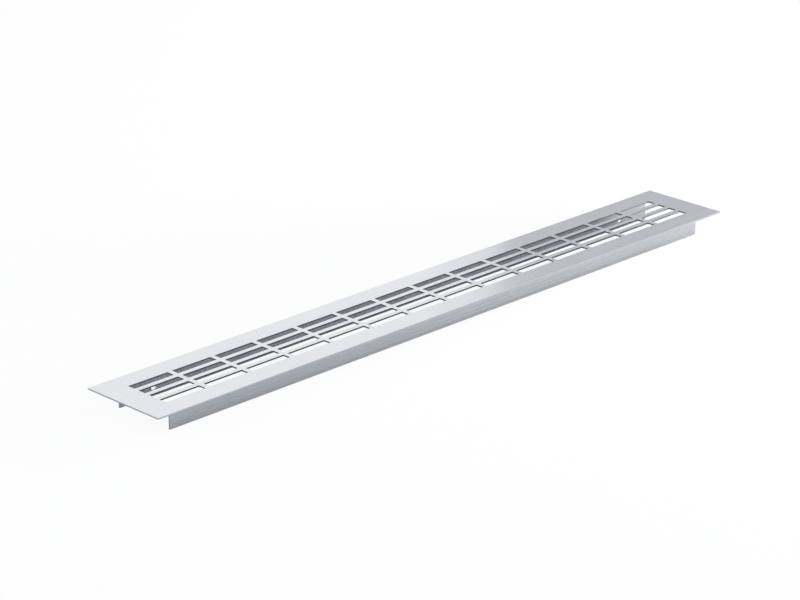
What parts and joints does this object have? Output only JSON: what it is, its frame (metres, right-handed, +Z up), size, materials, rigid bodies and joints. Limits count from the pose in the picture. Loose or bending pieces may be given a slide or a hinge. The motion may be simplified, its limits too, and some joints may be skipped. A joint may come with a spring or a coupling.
{
  "type": "ventilation grille",
  "caption": "Recessed ventilation grille: a flat aluminium face plate with rows of punched slots, and grooved legs underneath that drop into a cut-out.",
  "frame": {"origin": "middle of the rectangle around the plate, at the height of the leg toes, so that the grille stands on z = 0", "axes": "+X along the extrusion, +Y across it towards the leg that has the screw holes, +Z up out of the visible face"},
  "size_m": [0.48, 0.06, 0.014],
  "materials": {
    "anodised_aluminium": "satin silver anodised aluminium with fine lines along the extrusion"
  },
  "bodies": {
    "root": {"grille": "anodised_aluminium"}
  },
  "joints": []
}
